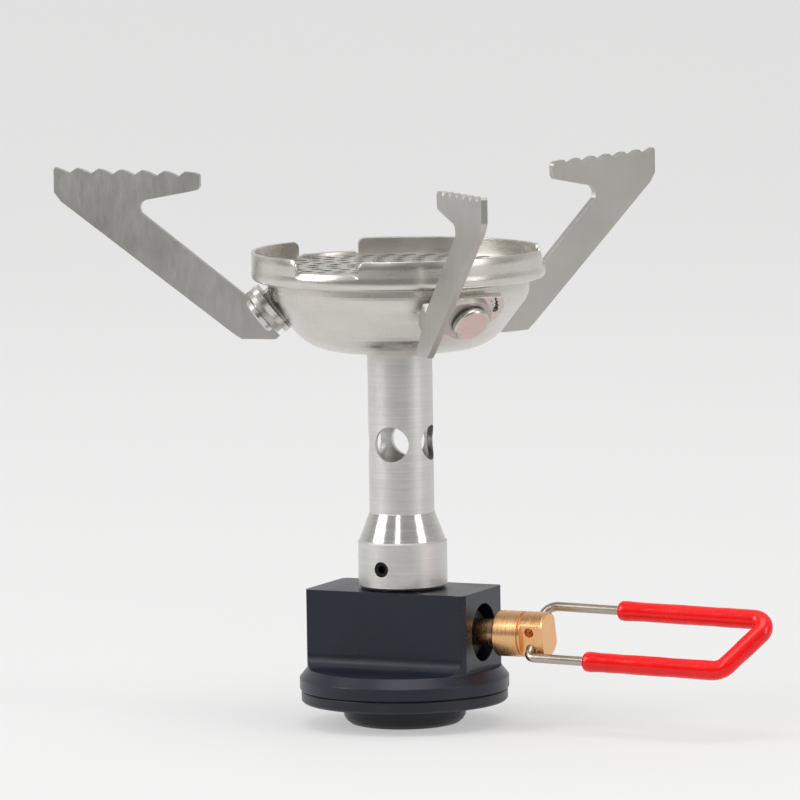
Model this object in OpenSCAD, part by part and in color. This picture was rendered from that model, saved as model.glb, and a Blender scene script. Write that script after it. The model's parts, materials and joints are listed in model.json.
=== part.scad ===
// Small canister-top camping stove: valve body, burner tube, bowl burner,
// three folding pot supports and a folding wire bail on the valve spindle.
// Z is the burner axis, z = 0 is the underside of the threaded boss and
// +X runs outward along the valve spindle.

/* [Valve body] */
// Radius of the body's round flange
flange_r = 20.4; // [19.5:0.1:22]
// Half length of the block along the spindle
block_hx = 17.0; // [16.5:0.1:17.5]
// Half width of the block across its flats
block_hy = 9.3; // [8.6:0.1:10]
// Height of the block's top face
block_top = 26.6; // [25.5:0.1:28]
// Height of the spindle axis
spindle_z = 18.5; // [17.5:0.1:19]
// Concave radius where the flats meet the flange
flat_fillet = 3.0; // [1:0.5:4]

/* [Connector] */
// Radius of the connector disc
disc_r = 20.1; // [19:0.1:21]
// Underside of the connector disc
disc_z = 4.5; // [4:0.1:5]
// Radius of the boss where it leaves the disc
boss_r = 12.0; // [10:0.1:12.5]
// Radius of the canister thread bore
thread_r = 5.56; // [5.3:0.01:5.7]
// Length of the threaded wall
thread_len = 5.5; // [4.5:0.1:5.8]

/* [Spindle and bail] */
// Radius of the spindle stem
stem_r = 2.65; // [2.4:0.05:2.8]
// Radius of the spindle head
head_r = 4.45; // [4.2:0.05:4.8]
// Start of the head along X
head_x0 = 20.4; // [20:0.1:21.5]
// Length of the head
head_len = 10.4; // [10:0.1:11]
// Distance from the head's axis to each flat
flat_d = 3.3; // [3.1:0.05:3.5]
// Bail pivot position along X
pivot_x = 28.1; // [27.8:0.1:28.4]
// Turn of the flats below the horizontal, in degrees
flat_turn = 14; // [0:1:20]
// Turn of the bail pivot below the horizontal, in degrees
bail_turn = 44.7; // [40:0.1:50]
// Radius of the bail wire
wire_r = 0.9; // [0.8:0.05:0.95]
// Outer radius of the dipped sleeve
sleeve_r = 1.9; // [1.5:0.1:2]

/* [Burner tube] */
// Radius of the tube
tube_r = 6.3; // [6.1:0.1:6.5]
// Radius of the collar
collar_r = 8.65; // [8.2:0.05:9]
// Height of the top of the collar
collar_top = 36.1; // [35:0.1:37]
// Height of the top of the cone
cone_top = 41.4; // [40.5:0.1:43]
// Height of the air holes
air_z = 55.1; // [54:0.1:57]
// Radius of the air holes
air_r = 3.4; // [3:0.1:3.6]

/* [Burner head] */
// Turn of the rim's gaps about the burner axis, in degrees
gap_turn = 25; // [0:1:60]
// Outer radius of the rim
rim_r = 28.5; // [28.2:0.1:29]
// Top of the upright rim walls
rim_top = 92.6; // [92:0.1:95]
// Width of each gap between the rim walls, in degrees
gap_deg = 28; // [24:1:34]
// Radius of the flame holes
hole_r = 1.2; // [0.9:0.05:1.3]

/* [Pot supports] */
// Turn of the first hinge about the burner axis, in degrees
hinge_turn = -35; // [-40:1:-30]
// Thickness of the support blades
blade_t = 1.2; // [1:0.1:1.3]
// Angle of each blade behind its hinge, in degrees
blade_back = 14.5; // [13.5:0.5:15]
// Radius to the blades' outer edge
blade_ro = 70; // [69:0.5:72]
// Height of the toothed edge at its outer end
tooth_z = 107.9; // [107:0.1:109]
// Depth of the tooth notches
tooth_d = 1.0; // [0.5:0.1:1.2]
// Radius of the arm flange round its rivet
eye_r = 4.7; // [4.4:0.1:4.8]
// Radius of the rivet shank
rivet_r = 1.7; // [1.5:0.05:1.9]
// Radius of the rivet head
rivet_head_r = 3.6; // [3.2:0.1:3.8]

/* [Hidden] */
$fn = 64;

steel = [0.78, 0.77, 0.74];
navy = [0.13, 0.16, 0.22];
brassy = [0.86, 0.62, 0.33];
hinge_az = [hinge_turn, hinge_turn + 120, hinge_turn + 240];
// hinge axis: foot point (radius, height) and tilt below the horizontal
hinge_p = [24.2, 82.3];
hinge_tilt = 37.5;
// stack of the hinge along its axis
plate_d0 = 0.3;
plate_d1 = 1.5;
eye_d0 = plate_d1 + 0.05;
eye_d1 = eye_d0 + blade_t;
washer_d0 = eye_d1 + 0.05;
washer_d1 = washer_d0 + 0.35;
head_d1 = washer_d1 + 1.1;
// the blade stands beside the radial plane
blade_y = -3.8;
air_turn = 5.5;
grub_turn = -94.8;
grub_z = 31;

function arc(cx, cy, r, a0, a1, n) = [for (i = [0 : n]) let (a = a0 + (a1 - a0) * i / n) [cx + r * cos(a), cy + r * sin(a)]];

// ---- connector and valve ----
module connector_disc() {
    color(navy)
    difference() {
        rotate_extrude()
        polygon([[0, 0], [9.6, 0], [10.6, 0.25], [11.35, 0.85], [boss_r - 0.15, 1.7], [boss_r, 2.6], [boss_r, disc_z],
             [disc_r - 0.4, disc_z], [disc_r, disc_z + 0.4], [disc_r, 6.6], [disc_r - 0.3, 6.9], [8.5, 6.9], [8.5, 8.2], [0, 8.2]]);
        translate([0, 0, -1]) cylinder(r = thread_r, h = 1 + thread_len);
        translate([0, 0, thread_len]) cylinder(r = 6.0, h = 9 - thread_len);
    }
}

// end wall of the connector's spigot, with the hole for the pin
module seat_plate() {
    color(navy)
    difference() {
        translate([0, 0, 8.2]) cylinder(r = 8.5, h = 1.7);
        translate([0, 0, 8]) cylinder(r = 2.2, h = 3);
    }
}

module canister_seal() {
    color([0.1, 0.1, 0.1])
    difference() {
        translate([0, 0, 7.2]) cylinder(r = 5.9, h = 1.0);
        translate([0, 0, 7]) cylinder(r = 3.4, h = 2);
    }
}

module depressor_pin() {
    color(brassy)
    difference() {
        union() {
            translate([0, 0, 5.9]) cylinder(r = 1.1, h = 2.4);
            translate([0, 0, 8.2]) cylinder(r = 2.2, h = 1.7);
        }
        translate([0, 0, 5]) cylinder(r = 0.5, h = 6);
    }
}

module inlet_filter() {
    color([0.55, 0.5, 0.45])
    translate([0, 0, 9.9]) cylinder(r = 8.4, h = 0.6);
}

module flat_fillet_bar() {
    translate([-block_hx - 3, block_hy, 11.2])
    difference() {
        cube([2 * block_hx + 6, flat_fillet, flat_fillet]);
        translate([-1, flat_fillet, flat_fillet]) rotate([0, 90, 0]) cylinder(r = flat_fillet, h = 2 * block_hx + 8);
    }
}

module valve_body() {
    color(navy)
    difference() {
        union() {
            rotate_extrude()
            polygon([[0, 6.9], [flange_r - 0.3, 6.9], [flange_r, 7.2], [flange_r, 9.3], [18.9, 11.2], [0, 11.2]]);
            intersection() {
                union() {
                    translate([-block_hx, -block_hy, 11.2]) cube([2 * block_hx, 2 * block_hy, block_top - 11.2]);
                    flat_fillet_bar();
                    mirror([0, 1, 0]) flat_fillet_bar();
                }
                translate([0, 0, 11.2]) cylinder(r = 18.9, h = 20);
            }
        }
        // spigot recess and gas cavity
        translate([0, 0, 6]) cylinder(r = 8.5, h = 3.9);
        translate([0, 0, 9]) cylinder(r = 8.4, h = 1.5);
        translate([7.9, 0, 10]) cylinder(r = 0.8, h = 6.5);
        // spindle bores
        translate([-1, 0, spindle_z]) rotate([0, 90, 0]) cylinder(r = 0.9, h = 6);
        translate([4.5, 0, spindle_z]) rotate([0, 90, 0]) cylinder(r = 3.1, h = 5);
        translate([9, 0, spindle_z]) rotate([0, 90, 0]) cylinder(r = 4.2, h = 5);
        translate([13.6, 0, spindle_z]) rotate([0, 90, 0]) cylinder(r = 5.65, h = 5);
        // outlet to the jet
        translate([0, 0, spindle_z]) cylinder(r = 0.8, h = 3.5);
        translate([0, 0, 21.2]) cylinder(r = 3.5, h = 6);
    }
}

module gland_nut() {
    color([0.72, 0.7, 0.66])
    difference() {
        union() {
            translate([9, 0, spindle_z]) rotate([0, 90, 0]) cylinder(r = 4.2, h = 4.6);
            translate([13.6, 0, spindle_z]) rotate([0, 90, 0]) cylinder(r = 4.9, h = 1.6, $fn = 6);
        }
        translate([8, 0, spindle_z]) rotate([0, 90, 0]) cylinder(r = stem_r + 0.05, h = 10);
    }
}

module spindle_oring() {
    color([0.08, 0.08, 0.08])
    translate([11, 0, spindle_z]) rotate([0, 90, 0])
    rotate_extrude() translate([stem_r - 0.43, 0]) circle(r = 0.45);
}

module valve_spindle() {
    color(brassy)
    translate([0, 0, spindle_z])
    difference() {
        rotate([0, 90, 0]) rotate_extrude()
        polygon([[0, 3.7], [0.3, 3.7], [1.15, 5.2], [2.9, 5.2], [2.9, 6.8], [2.0, 6.8], [2.0, 9.0],
                 [stem_r, 9.0], [stem_r, 10.2], [1.75, 10.2], [1.75, 11.8], [stem_r, 11.8],
                 [stem_r, head_x0], [head_r - 0.3, head_x0], [head_r, head_x0 + 0.3],
                 [head_r, head_x0 + 5.2], [head_r - 0.4, head_x0 + 5.3], [head_r - 0.4, head_x0 + 5.8],
                 [head_r, head_x0 + 5.9], [head_r, head_x0 + head_len - 0.3],
                 [head_r - 0.3, head_x0 + head_len], [0, head_x0 + head_len]]);
        // two flats on the head's outer half
        for (s = [0, 180]) rotate([180 + flat_turn + s, 0, 0])
            translate([head_x0 + 5.9, flat_d, -6]) cube([10, 6, 12]);
        // oblique pivot bore and the second, plain cross hole
        translate([pivot_x, 0, 0]) rotate([180 + bail_turn, 0, 0]) rotate([-90, 0, 0])
            translate([0, 0, -6]) cylinder(r = wire_r + 0.05, h = 12);
        rotate([180 + flat_turn, 0, 0]) translate([pivot_x, flat_d - 2.2, -1.6]) rotate([-90, 0, 0])
            cylinder(r = 0.95, h = 4);
    }
}

// ---- bail: a planar wire path with rounded corners ----
bail_v = [[0, 1.2], [0, 5.6], [40.3, 6.6], [47.8, -5.95], [0, -7.08], [0, -1.2]];
bail_b = [0, 1.2, 3.0, 2.3, 2.6, 0];
function unit2(v) = v / norm(v);
function cross2(a, b) = a[0] * b[1] - a[1] * b[0];
function turn_at(i) = let (a = unit2(bail_v[i] - bail_v[i - 1]), b = unit2(bail_v[i + 1] - bail_v[i]))
    atan2(cross2(a, b), a * b);
function setback(i) = (i == 0 || i == len(bail_v) - 1) ? 0 : bail_b[i] * tan(abs(turn_at(i)) / 2);

module bail_straight(i, r, s0, s1) {
    a = bail_v[i];
    b = bail_v[i + 1];
    u = unit2(b - a);
    // each straight runs a little way into the bends at its ends
    l0 = max(setback(i) - (i > 0 ? 0.1 : 0), s0);
    l1 = norm(b - a) - max(setback(i + 1) - (i < 4 ? 0.1 : 0), s1);
    translate([a[0] + u[0] * l0, a[1] + u[1] * l0, 0]) rotate([0, 0, atan2(u[1], u[0])]) rotate([0, 90, 0])
        cylinder(r = r, h = l1 - l0);
}

// a bend, a touch fuller than the straight wire
module bail_corner(i, r) {
    a = unit2(bail_v[i] - bail_v[i - 1]);
    t = turn_at(i);
    p = bail_v[i] - a * setback(i);
    c = p + bail_b[i] * [a[1], -a[0]];
    a0 = atan2((p - c)[1], (p - c)[0]);
    translate([c[0], c[1], 0]) rotate([0, 0, a0 + t])
    rotate_extrude(angle = -t) translate([bail_b[i], 0]) circle(r = r + 0.03);
}

module bail_place() {
    translate([pivot_x, 0, spindle_z]) rotate([180 + bail_turn, 0, 0]) children();
}

module bail_wire_path() {
    for (i = [0 : 4]) bail_straight(i, wire_r, 0, 0);
    for (i = [1 : 4]) bail_corner(i, wire_r);
}

module bail_wire() {
    color([0.72, 0.68, 0.6])
    bail_place() bail_wire_path();
}

module bail_sleeve() {
    color([0.85, 0.02, 0.02])
    bail_place()
    difference() {
        union() {
            bail_straight(1, sleeve_r, 11.6, 0);
            bail_straight(2, sleeve_r, 0, 0);
            bail_straight(3, sleeve_r, 0, 15.0);
            bail_corner(2, sleeve_r);
            bail_corner(3, sleeve_r);
        }
        bail_wire_path();
    }
}

// ---- jet and tube ----
module jet_holder() {
    color(brassy)
    difference() {
        union() {
            translate([0, 0, 21.2]) cylinder(r = 3.5, h = 5.4);
            translate([0, 0, 26.6]) cylinder(r = 6.0, h = 7.4);
            translate([0, 0, 34]) cylinder(r = 3.4, h = 11);
        }
        translate([0, 0, 20]) cylinder(r = 1.0, h = 22);
        translate([0, 0, 41]) cylinder(r = 2.0, h = 5);
    }
}

module gas_jet() {
    color(brassy)
    difference() {
        union() {
            translate([0, 0, 41]) cylinder(r = 2.0, h = 4);
            translate([0, 0, 45]) cylinder(r = 3.4, h = 2.6, $fn = 6);
            translate([0, 0, 47.6]) cylinder(r1 = 2.2, r2 = 1.2, h = 2.2);
        }
        translate([0, 0, 40]) cylinder(r = 0.8, h = 8.5);
        translate([0, 0, 48]) cylinder(r = 0.25, h = 3);
    }
}

module burner_tube() {
    color(steel)
    difference() {
        rotate_extrude()
        polygon([[0, 26.9], [collar_r - 0.4, 26.9], [collar_r, 27.3], [collar_r, collar_top - 0.3], [collar_r - 0.25, collar_top],
                 [tube_r + 0.1, cone_top], [tube_r, cone_top + 0.1], [tube_r, 74.0], [7.0, 74.0], [7.0, 74.8], [0, 74.8]]);
        translate([0, 0, 26]) cylinder(r = 6.0, h = 8);
        translate([0, 0, 33]) cylinder(r = tube_r - 1.0, h = 43);
        for (a = [0, 90]) rotate([0, 0, air_turn + a]) translate([-10, 0, air_z]) rotate([0, 90, 0]) cylinder(r = air_r, h = 20);
        rotate([0, 0, grub_turn]) translate([5, 0, grub_z]) rotate([0, 90, 0]) cylinder(r = 1.5, h = 5);
    }
}

module collar_grub_screw() {
    color([0.12, 0.12, 0.12])
    rotate([0, 0, grub_turn]) translate([6.0, 0, grub_z]) rotate([0, 90, 0])
    difference() {
        cylinder(r = 1.5, h = 2.35);
        translate([0, 0, 0.9]) cylinder(r = 0.87, h = 3, $fn = 6);
    }
}

module neck_ring() {
    color(steel)
    difference() {
        translate([0, 0, 72.4]) cylinder(r = 7.3, h = 0.8);
        translate([0, 0, 72]) cylinder(r = tube_r, h = 2);
    }
}

// ---- burner head ----
bowl_outer = concat([[12.0, 73.2]], arc(12.0, 84.0, 10.8, -90, -37.5, 9), arc(20.4, 85.42, 5.0, -37.5, 0, 6));
bowl_inner = concat(arc(20.4, 85.42, 4.2, 0, -37.5, 6), arc(12.0, 84.0, 10.0, -37.5, -90, 9), [[12.0, 74.0]]);

module burner_bowl() {
    color(steel)
    rotate_extrude()
    polygon(concat([[tube_r, 73.2]], bowl_outer, [[25.4, 87.4], [27.7, 87.4], [27.7, 88.6], [24.6, 88.6]], bowl_inner, [[tube_r, 74.0]]));
}

module bowl_mass() {
    rotate_extrude()
    polygon(concat([[0, 73.2]], bowl_outer, [[25.4, 87.4], [0, 87.4]]));
}

module rim_ring() {
    color(steel)
    union() {
        difference() {
            rotate_extrude()
            polygon([[25.4, 86.6], [27.5, 86.9], [rim_r - 0.25, 87.3], [rim_r, 87.9], [rim_r, rim_top],
                     [27.7, rim_top], [27.7, 87.4], [25.4, 87.4]]);
            for (k = [0 : 2])
                rotate([0, 0, gap_turn - gap_deg / 2 + 120 * k]) rotate_extrude(angle = gap_deg)
                    polygon([[26, 89.7], [rim_r + 2, 89.7], [rim_r + 2, rim_top + 1], [26, rim_top + 1]]);
        }
        // crimped tab in each gap
        for (k = [0 : 2])
            rotate([0, 0, gap_turn - gap_deg / 2 + 2.5 + 120 * k]) rotate_extrude(angle = gap_deg - 5)
                polygon([[25.9, 89.4], [28.1, 89.4], [28.1, 89.9], [27.9, 90.1], [25.9, 90.1]]);
    }
}

module gauze_disc() {
    color([0.35, 0.34, 0.33])
    translate([0, 0, 87.0]) cylinder(r = 24.6, h = 0.4);
}

module flame_plate() {
    color(steel)
    difference() {
        translate([0, 0, 88.6]) cylinder(r = 27.7, h = 0.8);
        for (ring = [[5.2, 8], [9.0, 14], [12.8, 20], [16.6, 26], [20.4, 32], [23.4, 36]])
            for (i = [0 : ring[1] - 1])
                rotate([0, 0, gap_turn + 360 * i / ring[1] + ring[0] * 7]) translate([ring[0], 0, 88]) cylinder(r = hole_r, h = 2);
    }
}

// ---- hinges and pot supports ----
module hinge_frame(a) {
    rotate([0, 0, a]) translate([hinge_p[0], 0, hinge_p[1]]) rotate([0, 90 + hinge_tilt, 0]) rotate([0, 0, 90]) children();
}

module bracket(a) {
    difference() {
        hinge_frame(a)
        difference() {
            union() {
                // base plate with a lobe for the arc slot
                intersection() {
                    union() {
                        translate([0, 0, plate_d0]) cylinder(r = 5.6, h = plate_d1 - plate_d0);
                        translate([3.0, 1.5, plate_d0]) cylinder(r = 4.6, h = plate_d1 - plate_d0);
                        translate([0, 0, plate_d0]) linear_extrude(height = plate_d1 - plate_d0)
                            polygon([[-8.4, -3.6], [-8.4, -1.6], [-5.0, 3.0], [-3.6, 5.5], [5.4, 5.5], [0, -5.2], [-4.2, -5.0]]);
                    }
                    translate([-12, -8, -1]) cube([24, 12.6, 6]);
                }
                // pad formed down onto the bowl
                translate([-4.2, -3.6, -1.4]) cube([8.4, 6.6, 1.4 + plate_d0]);
                // upright tab that stops the opened arm
                translate([-6.5, -2.38, plate_d0]) rotate([0, 0, -19.2]) translate([-1.0, -1.5, 0]) cube([2.0, 1.42, 2.4]);
            }
            translate([0, 0, -3]) cylinder(r = rivet_r, h = 8);
            // arc slot, seen beside the arm's eye
            for (k = [0 : 3]) rotate([0, 0, 12 + 9 * k]) translate([6.15, 0, -1]) cylinder(r = 0.6, h = 4);
        }
        bowl_mass();
    }
}

module bracket_front() { color(steel) bracket(hinge_az[0]); }
module bracket_rear() { color(steel) bracket(hinge_az[1]); }
module bracket_left() { color(steel) bracket(hinge_az[2]); }

notch_r = [66.8, 62.4, 58.0, 53.6, 49.1, 44.6];
function tooth_top(r) = tooth_z - 0.8 * (blade_ro - r) / 29;
// one tooth, from the notch at ra inward: a short rise to the crest, then a long fall
function tooth(ra, rb) = let (w = ra - rb)
    [for (q = [[0, 1], [0.15, 0.5], [0.33, 0], [0.5, 0.1], [0.75, 0.5]]) [ra - w * q[0], tooth_top(ra - w * q[0]) - tooth_d * q[1]]];
teeth = concat(
    [[blade_ro, tooth_top(blade_ro) - 0.5], [blade_ro - 0.3, tooth_top(blade_ro)], [blade_ro - 1.2, tooth_top(blade_ro) - 0.3 * tooth_d]],
    [for (k = [0 : 4]) for (p = tooth(notch_r[k], notch_r[k + 1])) p],
    [for (p = tooth(notch_r[5], 40.9)) if (p[0] > 42.8) p],
    [[41.3, tooth_top(41.3) - 0.15]]);

module blade() {
    translate([0, blade_y, 0]) rotate([90, 0, 0]) mirror([0, 0, 1])
    linear_extrude(height = blade_t)
    polygon(concat(
        [[24.95, 75.1], [25.6, 74.5], [32.4, 74.5], [34.4, 75.8], [blade_ro - 1.4, 101.2], [blade_ro, 103.0]],
        teeth,
        [[40.5, 106.6], [40.4, 106.2], [40.4, 104.3], [40.9, 103.6], [42.2, 103.3]],
        arc(50.95, 100.0, 1.65, 80, -35, 6),
        [[31.71, 83.15], [29.33, 85.03], [26.3, 81.21], [28.68, 79.33]]));
}

module arm(a) {
    difference() {
        rotate([0, 0, a - blade_back]) blade();
        hinge_frame(a) translate([-60, -60, eye_d0 - 100]) cube([120, 78, 100]);
    }
    difference() {
        hinge_frame(a) translate([0, 0, eye_d0]) difference() {
            union() {
                cylinder(r = eye_r, h = blade_t);
                linear_extrude(height = blade_t)
                    polygon([[-11.9, -0.5], [-11.9, 4.1], [-0.8, 4.63], [0, 0], [-3.0, -3.6]]);
            }
            translate([0, 0, -1]) cylinder(r = rivet_r + 0.05, h = 4);
        }
        rotate([0, 0, a - blade_back]) translate([-100, blade_y - 100, 0]) cube([200, 100, 200]);
    }
}

module arm_front() { color(steel) arm(hinge_az[0]); }
module arm_rear() { color(steel) arm(hinge_az[1]); }
module arm_left() { color(steel) arm(hinge_az[2]); }

module arm_rivets() {
    color(steel)
    for (a = hinge_az) hinge_frame(a) {
        translate([0, 0, 0.1]) cylinder(r = rivet_r, h = washer_d1 - 0.1);
        translate([0, 0, washer_d1]) cylinder(r = rivet_head_r, h = head_d1 - washer_d1 - 0.3);
        translate([0, 0, head_d1 - 0.3]) cylinder(r1 = rivet_head_r, r2 = rivet_head_r - 0.3, h = 0.3);
    }
}

module spring_washers() {
    color([0.6, 0.6, 0.6])
    for (a = hinge_az) hinge_frame(a) translate([0, 0, washer_d0]) difference() {
        cylinder(r = 3.2, h = washer_d1 - washer_d0);
        translate([0, 0, -1]) cylinder(r = rivet_r, h = 3);
    }
}

connector_disc();
seat_plate();
canister_seal();
depressor_pin();
inlet_filter();
valve_body();
gland_nut();
spindle_oring();
valve_spindle();
bail_wire();
bail_sleeve();
jet_holder();
gas_jet();
burner_tube();
collar_grub_screw();
neck_ring();
burner_bowl();
rim_ring();
gauze_disc();
flame_plate();
bracket_front();
bracket_rear();
bracket_left();
arm_front();
arm_rear();
arm_left();
arm_rivets();
spring_washers();
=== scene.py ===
import json
import math
import random

import bpy
import bmesh
from mathutils import Matrix, Vector


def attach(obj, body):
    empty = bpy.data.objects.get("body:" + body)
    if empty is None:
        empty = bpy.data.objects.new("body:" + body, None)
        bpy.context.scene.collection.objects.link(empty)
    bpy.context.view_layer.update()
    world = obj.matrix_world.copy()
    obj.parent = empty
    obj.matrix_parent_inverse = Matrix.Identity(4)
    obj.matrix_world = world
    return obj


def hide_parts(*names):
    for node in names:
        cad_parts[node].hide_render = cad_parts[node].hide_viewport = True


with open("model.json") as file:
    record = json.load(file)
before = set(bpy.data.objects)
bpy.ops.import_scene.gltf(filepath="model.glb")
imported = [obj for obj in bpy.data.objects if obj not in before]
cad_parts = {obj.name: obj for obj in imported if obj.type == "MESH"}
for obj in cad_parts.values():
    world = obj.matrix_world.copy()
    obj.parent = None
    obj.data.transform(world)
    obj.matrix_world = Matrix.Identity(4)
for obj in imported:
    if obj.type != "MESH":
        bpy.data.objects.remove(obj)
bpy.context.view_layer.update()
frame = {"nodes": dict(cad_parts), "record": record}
nodes = frame["nodes"]
random.seed(7)
MM = 0.001


# ---------------------------------------------------------------- materials
class Mat:
    def __init__(self, name):
        self.mat = bpy.data.materials.new(name)
        self.mat.use_nodes = True
        self.t = self.mat.node_tree
        self.t.nodes.clear()
        self.out = self.t.nodes.new("ShaderNodeOutputMaterial")
        self.b = self.t.nodes.new("ShaderNodeBsdfPrincipled")
        self.t.links.new(self.b.outputs[0], self.out.inputs[0])
        self.co = self.t.nodes.new("ShaderNodeTexCoord").outputs["Object"]

    def n(self, kind, **kw):
        node = self.t.nodes.new(kind)
        for k, v in kw.items():
            setattr(node, k, v)
        return node

    def link(self, a, b):
        self.t.links.new(a, b)

    def noise(self, scale, detail=4.0, rough=0.55, stretch=(1, 1, 1), co=None):
        m = self.n("ShaderNodeMapping")
        m.inputs["Scale"].default_value = stretch
        self.link(co or self.co, m.inputs["Vector"])
        t = self.n("ShaderNodeTexNoise")
        t.inputs["Scale"].default_value = scale
        t.inputs["Detail"].default_value = detail
        t.inputs["Roughness"].default_value = rough
        self.link(m.outputs[0], t.inputs["Vector"])
        return t.outputs["Fac"]

    def span(self, value, lo, hi, a=0.3, b=0.7):
        r = self.n("ShaderNodeMapRange")
        r.inputs["From Min"].default_value = a
        r.inputs["From Max"].default_value = b
        r.inputs["To Min"].default_value = lo
        r.inputs["To Max"].default_value = hi
        self.link(value, r.inputs["Value"])
        return r.outputs[0]

    def tint(self, value, c0, c1, a=0.3, b=0.7):
        r = self.n("ShaderNodeValToRGB")
        r.color_ramp.elements[0].position = a
        r.color_ramp.elements[1].position = b
        r.color_ramp.elements[0].color = (*c0, 1)
        r.color_ramp.elements[1].color = (*c1, 1)
        self.link(value, r.inputs[0])
        return r.outputs[0]

    def maths(self, op, a, b):
        m = self.n("ShaderNodeMath", operation=op)
        for i, v in enumerate((a, b)):
            if isinstance(v, (int, float)):
                m.inputs[i].default_value = v
            else:
                self.link(v, m.inputs[i])
        return m.outputs[0]

    def bump(self, heights, edge=0.0):
        """heights: list of (socket, distance in metres); edge: rounding radius at sharp edges"""
        normal = None
        if edge:
            bv = self.n("ShaderNodeBevel", samples=4)
            bv.inputs["Radius"].default_value = edge
            normal = bv.outputs[0]
        for h, d in heights:
            bp = self.n("ShaderNodeBump")
            bp.inputs["Strength"].default_value = 1.0
            bp.inputs["Distance"].default_value = d
            self.link(h, bp.inputs["Height"])
            if normal is not None:
                self.link(normal, bp.inputs["Normal"])
            normal = bp.outputs[0]
        if normal is not None:
            self.link(normal, self.b.inputs["Normal"])

    def set(self, **kw):
        for k, v in kw.items():
            s = self.b.inputs[k.replace("_", " ")]
            if hasattr(v, "links"):
                self.link(v, s)
            else:
                s.default_value = (*v, 1) if isinstance(v, tuple) else v


def satin_steel(name, c0, c1, r0, r1, stretch, aniso=0.0, edge=0.0002, wear=0.5):
    m = Mat(name)
    grain = m.noise(900, 5, 0.6, stretch)
    cloud = m.noise(55, 3, 0.6)
    fine = m.noise(2600, 2, 0.5)
    m.set(Metallic=1.0, Base_Color=m.tint(cloud, c0, c1),
          Roughness=m.maths("ADD", m.span(cloud, r0, r1), m.span(grain, -0.05, 0.07)))
    if aniso:
        m.set(Anisotropic=aniso)
    # scattered fine scratches
    v = m.n("ShaderNodeTexVoronoi", feature="DISTANCE_TO_EDGE")
    v.inputs["Scale"].default_value = 130
    m.link(m.co, v.inputs["Vector"])
    scr = m.span(v.outputs["Distance"], 1.0, 0.0, 0.0, 0.02)
    m.bump([(grain, 0.000012 * wear * 2), (fine, 0.000006), (scr, -0.000004 * wear)], edge)
    return m.mat


def turned(name, c0, c1, axis, lines, rough, depth=0.00001, edge=0.0001, cone=None):
    """Lathe-turned metal: fine rings along the given axis of the row frame."""
    m = Mat(name)
    st = [0.02, 0.02, 0.02]
    st[axis] = 1.0
    rings = m.noise(lines, 6, 0.75, tuple(st))
    rings2 = m.noise(lines * 0.22, 3, 0.6, tuple(st))
    cloud = m.noise(90, 3, 0.6)
    mix = m.maths("ADD", m.maths("MULTIPLY", rings, 0.6), m.maths("MULTIPLY", cloud, 0.4))
    coarse = m.maths("ADD", m.span(rings, rough - 0.06, rough + 0.08), m.span(cloud, -0.03, 0.03))
    if cone:
        # the conical shoulder was turned brighter and smoother than the rest
        sep = m.n("ShaderNodeSeparateXYZ")
        m.link(m.co, sep.inputs[0])
        z = sep.outputs[2]
        band = m.maths("MULTIPLY", m.maths("GREATER_THAN", z, cone[0]), m.maths("LESS_THAN", z, cone[1]))
        keep = m.maths("SUBTRACT", 1.0, m.maths("MULTIPLY", band, 0.62))
        coarse = m.maths("MULTIPLY", coarse, keep)
        rings = m.maths("MULTIPLY", rings, keep)
    m.set(Metallic=1.0, Base_Color=m.tint(mix, c0, c1, 0.35, 0.65), Roughness=coarse)
    m.bump([(rings, depth), (rings2, depth * 1.5)], edge)
    return m.mat


def anodised(name, c0, c1, r0, r1, edge=0.0003, axis=None):
    m = Mat(name)
    cloud = m.noise(70, 4, 0.6)
    fine = m.noise(3200, 3, 0.6)
    m.set(Metallic=0.1, Base_Color=m.tint(cloud, c0, c1),
          Roughness=m.maths("ADD", m.span(cloud, r0, r1), m.span(fine, -0.04, 0.05)),
          Specular_IOR_Level=0.42)
    hs = [(fine, 0.000006)]
    if axis is not None:
        st = [0.05, 0.05, 0.05]
        st[axis] = 1.0
        hs.append((m.noise(2400, 4, 0.7, tuple(st)), 0.000008))
    # small pale scuffs
    spot = m.noise(420, 6, 0.7)
    hs.append((m.span(spot, 0, 1, 0.64, 0.80), -0.000003))
    m.bump(hs, edge)
    return m.mat


def dipped(name):
    m = Mat(name)
    cloud = m.noise(120, 3, 0.6)
    wave = m.noise(260, 2, 0.4)
    fine = m.noise(1800, 3, 0.5)
    m.set(Base_Color=m.tint(cloud, (0.78, 0.0005, 0.001), (0.90, 0.001, 0.002)),
          Roughness=m.maths("ADD", m.span(cloud, 0.20, 0.30), m.span(fine, -0.02, 0.02)),
          Coat_Weight=0.25, Coat_Roughness=0.08, Specular_IOR_Level=0.3, Subsurface_Weight=0.05,
          Subsurface_Radius=[0.004, 0.0008, 0.0005])
    m.bump([(wave, 0.00012), (fine, 0.000006)], 0.0003)
    return m.mat


def dull(name, c0, c1, r0, r1, metal=0.0, scale=600):
    m = Mat(name)
    cloud = m.noise(120, 4, 0.6)
    fine = m.noise(scale, 4, 0.6)
    m.set(Metallic=metal, Base_Color=m.tint(cloud, c0, c1), Roughness=m.span(fine, r0, r1))
    m.bump([(fine, 0.00001)], 0.0001)
    return m.mat


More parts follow.
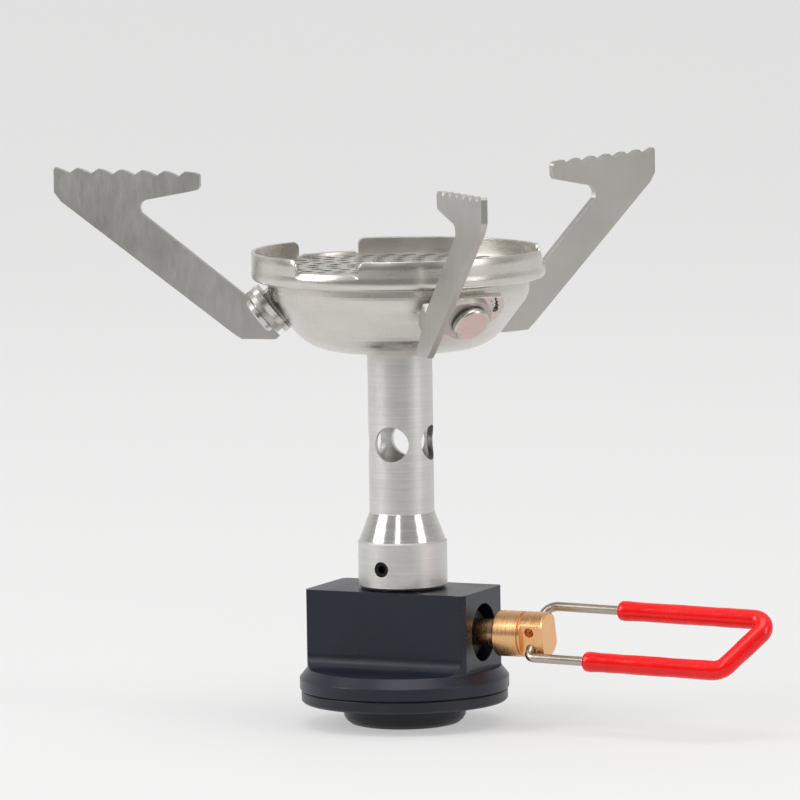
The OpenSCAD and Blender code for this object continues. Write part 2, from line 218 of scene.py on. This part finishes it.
M = {
    "dark_anodised": anodised("dark_anodised", (0.008, 0.009, 0.013), (0.014, 0.016, 0.022), 0.32, 0.42, axis=2),
    "navy_anodised": anodised("navy_anodised", (0.006, 0.009, 0.019), (0.009, 0.014, 0.027), 0.27, 0.37),
    "black_rubber": dull("black_rubber", (0.012, 0.012, 0.012), (0.022, 0.022, 0.022), 0.55, 0.75),
    "brass": turned("brass", (0.62, 0.44, 0.20), (0.78, 0.58, 0.30), 2, 2600, 0.32),
    "sintered": dull("sintered", (0.30, 0.22, 0.13), (0.46, 0.36, 0.24), 0.5, 0.7, 0.7, 1500),
    "spindle_brass": turned("spindle_brass", (0.78, 0.42, 0.18), (0.92, 0.55, 0.28), 0, 2400, 0.27, 0.000016),
    "wire_steel": satin_steel("wire_steel", (0.40, 0.35, 0.29), (0.56, 0.50, 0.42), 0.22, 0.32, (0.15, 1, 1), 0, 0.0001),
    "red_dip": dipped("red_dip"),
    "turned_aluminium": turned("turned_aluminium", (0.60, 0.59, 0.57), (0.74, 0.73, 0.71), 2, 3000, 0.40, 0.00003, cone=(0.0361, 0.0414)),
    "black_steel": dull("black_steel", (0.010, 0.010, 0.010), (0.02, 0.02, 0.02), 0.35, 0.5, 0.8),
    "satin_steel": satin_steel("satin_steel", (0.58, 0.55, 0.51), (0.70, 0.67, 0.63), 0.24, 0.33, (0.1, 0.1, 1)),
    "plate_steel": satin_steel("plate_steel", (0.50, 0.48, 0.45), (0.60, 0.58, 0.55), 0.36, 0.44, (1, 1, 1), 0, 0.0, 0.1),
    "dark_gauze": dull("dark_gauze", (0.03, 0.027, 0.025), (0.06, 0.055, 0.05), 0.5, 0.7, 0.6, 2200),
    "arm_steel": satin_steel("arm_steel", (0.47, 0.455, 0.43), (0.54, 0.525, 0.50), 0.37, 0.42, (1, 1, 0.25), 0, 0.00012, 0.3),
    "spring_steel": satin_steel("spring_steel", (0.42, 0.42, 0.42), (0.55, 0.55, 0.55), 0.28, 0.38, (1, 1, 0.2)),
}
slots = {s["node"]: s["material_slot"] for s in frame["record"]["subparts"]}
for name, ob in nodes.items():
    ob.data.materials.clear()
    ob.data.materials.append(M["plate_steel" if name == "flame_plate" else slots[name]])
    bpy.context.view_layer.objects.active = ob


# ---------------------------------------------------------------- made pieces
def new_mesh(name, verts, faces, slot, body, *replaced):
    me = bpy.data.meshes.new(name)
    me.from_pydata([tuple(v) for v in verts], [], faces)
    me.validate()
    bm = bmesh.new()
    bm.from_mesh(me)
    bmesh.ops.remove_doubles(bm, verts=bm.verts, dist=1e-7)
    bmesh.ops.recalc_face_normals(bm, faces=bm.faces)
    bm.to_mesh(me)
    bm.free()
    for p in me.polygons:
        p.use_smooth = True
    me.set_sharp_from_angle(angle=math.radians(40))
    ob = bpy.data.objects.new(name, me)
    bpy.context.scene.collection.objects.link(ob)
    me.materials.append(M[slot])
    if replaced:
        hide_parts(*replaced)
    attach(ob, body)
    return ob


def sweep_planar(points, radii, place, sides=32):
    """Closed tube along a planar path; points are (p, w), place maps (p, w, n) to the row frame in mm."""
    verts, faces = [], []
    n = len(points)
    for i, (p, r) in enumerate(zip(points, radii)):
        a = points[max(i - 1, 0)]
        b = points[min(i + 1, n - 1)]
        t = Vector((b[0] - a[0], b[1] - a[1])).normalized()
        side = Vector((-t.y, t.x))
        for k in range(sides):
            c, s_ = math.cos(2 * math.pi * k / sides), math.sin(2 * math.pi * k / sides)
            verts.append(place(p[0] + side.x * r * c, p[1] + side.y * r * c, r * s_) * MM)
    for i in range(n - 1):
        for k in range(sides):
            k2 = (k + 1) % sides
            faces.append((i * sides + k, i * sides + k2, (i + 1) * sides + k2, (i + 1) * sides + k))
    faces.append(tuple(range(sides))[::-1])
    faces.append(tuple((n - 1) * sides + k for k in range(sides)))
    return verts, faces


BAIL_V = [(0, 1.2), (0, 5.6), (40.3, 6.6), (47.8, -5.95), (0, -7.08), (0, -1.2)]
BAIL_B = [0, 1.2, 3.0, 2.3, 2.6, 0]


def bail_path(steps=12, straight=0.7):
    pts = []
    V = [Vector(v) for v in BAIL_V]
    prev = V[0]
    for i in range(1, 5):
        a, b = (V[i] - V[i - 1]).normalized(), (V[i + 1] - V[i]).normalized()
        t = math.atan2(a.x * b.y - a.y * b.x, a.dot(b))
        back_ = BAIL_B[i] * math.tan(abs(t) / 2)
        p0 = V[i] - a * back_
        cut = max(2, int((p0 - prev).length / straight))
        pts += [prev.lerp(p0, k / cut) for k in range(cut)]
        c = p0 + Vector((a.y, -a.x)) * BAIL_B[i]
        a0 = math.atan2(p0.y - c.y, p0.x - c.x)
        pts += [c + Vector((math.cos(a0 + t * k / steps), math.sin(a0 + t * k / steps))) * BAIL_B[i] for k in range(steps)]
        prev = c + Vector((math.cos(a0 + t), math.sin(a0 + t))) * BAIL_B[i]
    cut = max(2, int((V[5] - prev).length / straight))
    pts += [prev.lerp(V[5], k / cut) for k in range(cut + 1)]
    return pts


bail_rot = Matrix.Rotation(math.radians(224.7), 4, "X")


def bail_place(p, w, n):
    return Vector((28.1, 0, 18.5)) + (bail_rot @ Vector((p, w, n)))


def dip_radius(d, total):
    """sleeve radius from the distance to its nearer end: a rounded, slightly swollen start"""
    e = min(d, total - d)
    r = 1.88
    if e < 3.2:
        r += 0.09 * math.exp(-((e - 1.5) / 0.9) ** 2)
    if e < 0.95:
        q = 1 - e / 0.95
        r = 0.93 + (r - 0.93) * math.sqrt(max(0.0, 1 - q * q))
    # hand-dipped coats are never quite even
    return min(r + 0.025 * math.sin(d * 0.55 + 0.4) + 0.015 * math.sin(d * 1.3), 1.98)


path = bail_path()
wv, wf = sweep_planar(path, [0.9] * len(path), bail_place, 24)
new_mesh("wire_drawn", wv, wf, "wire_steel", "bail", "bail_wire")

# the sleeve covers the wire from 11.6 along the first leg to 15 short of the last
first = [p for p in path if p.x >= 11.6 or (p.y < 0 and p.x >= 15.0)]
i0 = next(i for i, p in enumerate(path) if p.x >= 11.6)
i1 = max(i for i, p in enumerate(path) if p.x >= 15.0)
span = path[i0:i1 + 1]
head_ = [span[0] + (span[1] - span[0]).normalized() * k for k in (0.0, 0.04, 0.12, 0.25, 0.45)]
tail_ = [span[-1] + (span[-2] - span[-1]).normalized() * k for k in (0.45, 0.25, 0.12, 0.04, 0.0)]
span = head_ + span[1:-1] + tail_
dist = [0.0]
for a_, b_ in zip(span, span[1:]):
    dist.append(dist[-1] + (b_ - a_).length)
sv, sf = sweep_planar(span, [dip_radius(d, dist[-1]) for d in dist], bail_place, 40)
new_mesh("sleeve_dipped", sv, sf, "red_dip", "bail", "bail_sleeve")


def rim_top(theta):
    """height of the rim's upright edge at an angle in degrees, with rounded wall ends"""
    t = (theta - 25 + 60) % 120 - 60
    e = abs(t) - 14.0
    if e <= 0:
        return None
    arc_mm = e * math.pi / 180 * 28.1
    if arc_mm < 1.4:
        q = 1 - arc_mm / 1.4
        return 92.6 - 1.4 + 1.4 * math.sqrt(max(0.0, 1 - q * q))
    return 92.6


def rim_piece():
    """Pressed ring: rolled lower lip, flat shoulder, upright walls with rounded ends."""
    verts, faces = [], []
    prof = [(25.45, 86.62), (26.4, 86.70), (27.4, 86.86), (28.05, 87.10), (28.38, 87.45), (28.50, 87.9), (28.50, 88.6), (28.42, 89.1)]
    rings = []
    cols = []
    step = 1.0
    th = [i * step for i in range(360)]
    for k in range(3):
        c = 25 + 120 * k
        for off in (14.0, 14.15, 14.4, 14.8, 15.3, 15.9, 16.5):
            th += [(c + off) % 360, (c - off) % 360]
        for off in (11.5, 11.6, 11.9, 12.4, 13.0, 13.9):
            th += [(c + off) % 360, (c - off) % 360]
    th = sorted(set(round(t, 4) for t in th))
    for t in th:
        a = math.radians(t)
        ca, sa = math.cos(a), math.sin(a)
        top = rim_top(t)
        if top is None:
            rel = abs((t - 25 + 60) % 120 - 60)
            # inside a gap the edge is crimped inward over the plate
            f = 1.0 if rel <= 11.5 else max(0.0, (13.9 - rel) / 2.4)
            zt = 89.55 + 0.55 * f
            up_ = [(28.40 - 0.05 * f, 89.3), (28.30 - 0.2 * f, zt - 0.15), (28.1 - 0.5 * f, zt), (27.9 - 1.1 * f, zt), (27.72 - 1.75 * f, zt - 0.05), (27.72 - 1.8 * f, 89.42)]
        else:
            up_ = [(28.42, 89.5), (28.46, (89.5 + top - 0.25) / 2), (28.48, top - 0.25), (28.36, top - 0.02), (28.1, top), (27.74, top - 0.12)]
        inner = [(27.71, 89.2), (27.71, 87.5), (27.3, 87.42), (25.45, 87.42)]
        cols.append([Vector((r * ca, r * sa, z)) * MM for r, z in prof + up_ + inner])
    m = len(cols[0])
    for c in cols:
        verts += c
    n = len(cols)
    for i in range(n):
        j = (i + 1) % n
        for k in range(m):
            l = (k + 1) % m
            faces.append((i * m + k, j * m + k, j * m + l, i * m + l))
    return new_mesh("rim_pressed", verts, faces, "satin_steel", "root", "rim_ring")


rim_piece()


# ---------------------------------------------------------------- stage, light, camera
def plain(name, colour, rough):
    m = Mat(name)
    cloud = m.noise(3, 2, 0.5)
    m.set(Base_Color=m.tint(cloud, colour, tuple(c * 1.01 for c in colour)), Roughness=rough)
    return m.mat


def floor():
    bm = bmesh.new()
    # a sweep: flat floor that curves up far behind
    prof = [(-0.5, 0.0)] + [(1.1 + 0.9 * math.sin(math.radians(a)), 0.9 - 0.9 * math.cos(math.radians(a))) for a in range(0, 91, 6)] + [(2.0, 3.4)]
    rows = [[bm.verts.new((x, d, z)) for x in (-4.5, 4.5)] for d, z in prof]
    for a, b in zip(rows, rows[1:]):
        bm.faces.new((a[0], a[1], b[1], b[0]))
    me = bpy.data.meshes.new("sweep")
    bm.to_mesh(me)
    bm.free()
    ob = bpy.data.objects.new("sweep", me)
    for p in me.polygons:
        p.use_smooth = True
    bpy.context.scene.collection.objects.link(ob)
    # turned to face the camera, which looks along row azimuth 115
    ob.rotation_euler = (0, 0, math.radians(25))
    ob.location = (0, 0, -0.00002)
    me.materials.append(plain("sweep_grey", (0.36, 0.36, 0.36), 0.9))
    # a lit paper sweep: most of its tone is its own, so that it stays even
    sweep_b = me.materials[0].node_tree.nodes["Principled BSDF"]
    sweep_b.inputs["Emission Color"].default_value = (1.0, 1.0, 1.0, 1)
    sweep_b.inputs["Emission Strength"].default_value = 0.44
    sweep_b.inputs["Specular IOR Level"].default_value = 0.1


floor()

world = bpy.data.worlds.new("studio")
bpy.context.scene.world = world
world.use_nodes = True
wt = world.node_tree
wb = wt.nodes["Background"]
wco = wt.nodes.new("ShaderNodeTexCoord").outputs["Generated"]


def world_dot(x, y, z):
    d = wt.nodes.new("ShaderNodeVectorMath")
    d.operation = "DOT_PRODUCT"
    d.inputs[1].default_value = Vector((x, y, z)).normalized()
    wt.links.new(wco, d.inputs[0])
    return d.outputs["Value"]


# bright above, dim behind the camera: the room end of a small studio
up_ramp = wt.nodes.new("ShaderNodeValToRGB")
for e_, (p_, c_) in zip(up_ramp.color_ramp.elements, ((0.42, (0.20, 0.20, 0.195)), (0.85, (0.95, 0.945, 0.93)))):
    e_.position = p_
    e_.color = (*c_, 1)
m_ = wt.nodes.new("ShaderNodeMapRange")
m_.inputs["From Min"].default_value = -1.0
wt.links.new(world_dot(-0.1, 0.35, 1.0), m_.inputs["Value"])
wt.links.new(m_.outputs[0], up_ramp.inputs[0])
wt.links.new(up_ramp.outputs[0], wb.inputs[0])
wb.inputs[1].default_value = 0.75


def area(name, az, el, dist, size, power, colour=(1, 1, 1), target=(0, 0, 0.06)):
    data = bpy.data.lights.new(name, "AREA")
    data.shape = "RECTANGLE"
    data.size, data.size_y = size
    data.energy = power
    data.color = colour
    ob = bpy.data.objects.new(name, data)
    bpy.context.scene.collection.objects.link(ob)
    a, e = math.radians(az), math.radians(el)
    d = Vector((math.cos(e) * math.cos(a), math.cos(e) * math.sin(a), math.sin(e)))
    ob.location = Vector(target) + d * dist
    ob.rotation_euler = (-d).to_track_quat("-Z", "Y").to_euler()
    return ob


# camera sits at row azimuth -65; left of frame is azimuth -155
area("key_left", -140, 28, 1.6, (0.7, 1.0), 11.0)
area("fill_right", -5, 20, 1.7, (0.45, 1.0), 6.0, (1.0, 0.98, 0.95))
area("top", -60, 78, 1.9, (1.4, 1.2), 14.0)
area("strip_front", -80, 38, 1.6, (0.16, 0.9), 2.2)

cam_data = bpy.data.cameras.new("cam")
cam = bpy.data.objects.new("cam", cam_data)
bpy.context.scene.collection.objects.link(cam)
az, el, dist, roll = math.radians(-65.362), math.radians(6.474), 1.5257, math.radians(-0.863)
target = Vector((0, 0, 0.055))
back = Vector((math.cos(el) * math.cos(az), math.cos(el) * math.sin(az), math.sin(el)))
right = (-back).cross(Vector((0, 0, 1))).normalized()
up = right.cross(-back)
R = right * math.cos(roll) + up * math.sin(roll)
U = -right * math.sin(roll) + up * math.cos(roll)
mw = Matrix((R, U, back)).transposed().to_4x4()
mw.translation = target + back * dist
cam.matrix_world = mw
cam_data.sensor_width = 36.0
cam_data.lens = 7861.9 / 800 * 36.0
cam_data.shift_x = -(401.01 - 400) / 800
cam_data.shift_y = (441.92 - 400) / 800
cam_data.clip_start, cam_data.clip_end = 0.05, 20.0
cam_data.dof.use_dof = False
bpy.context.scene.camera = cam

bpy.context.scene.view_settings.view_transform = "Standard"
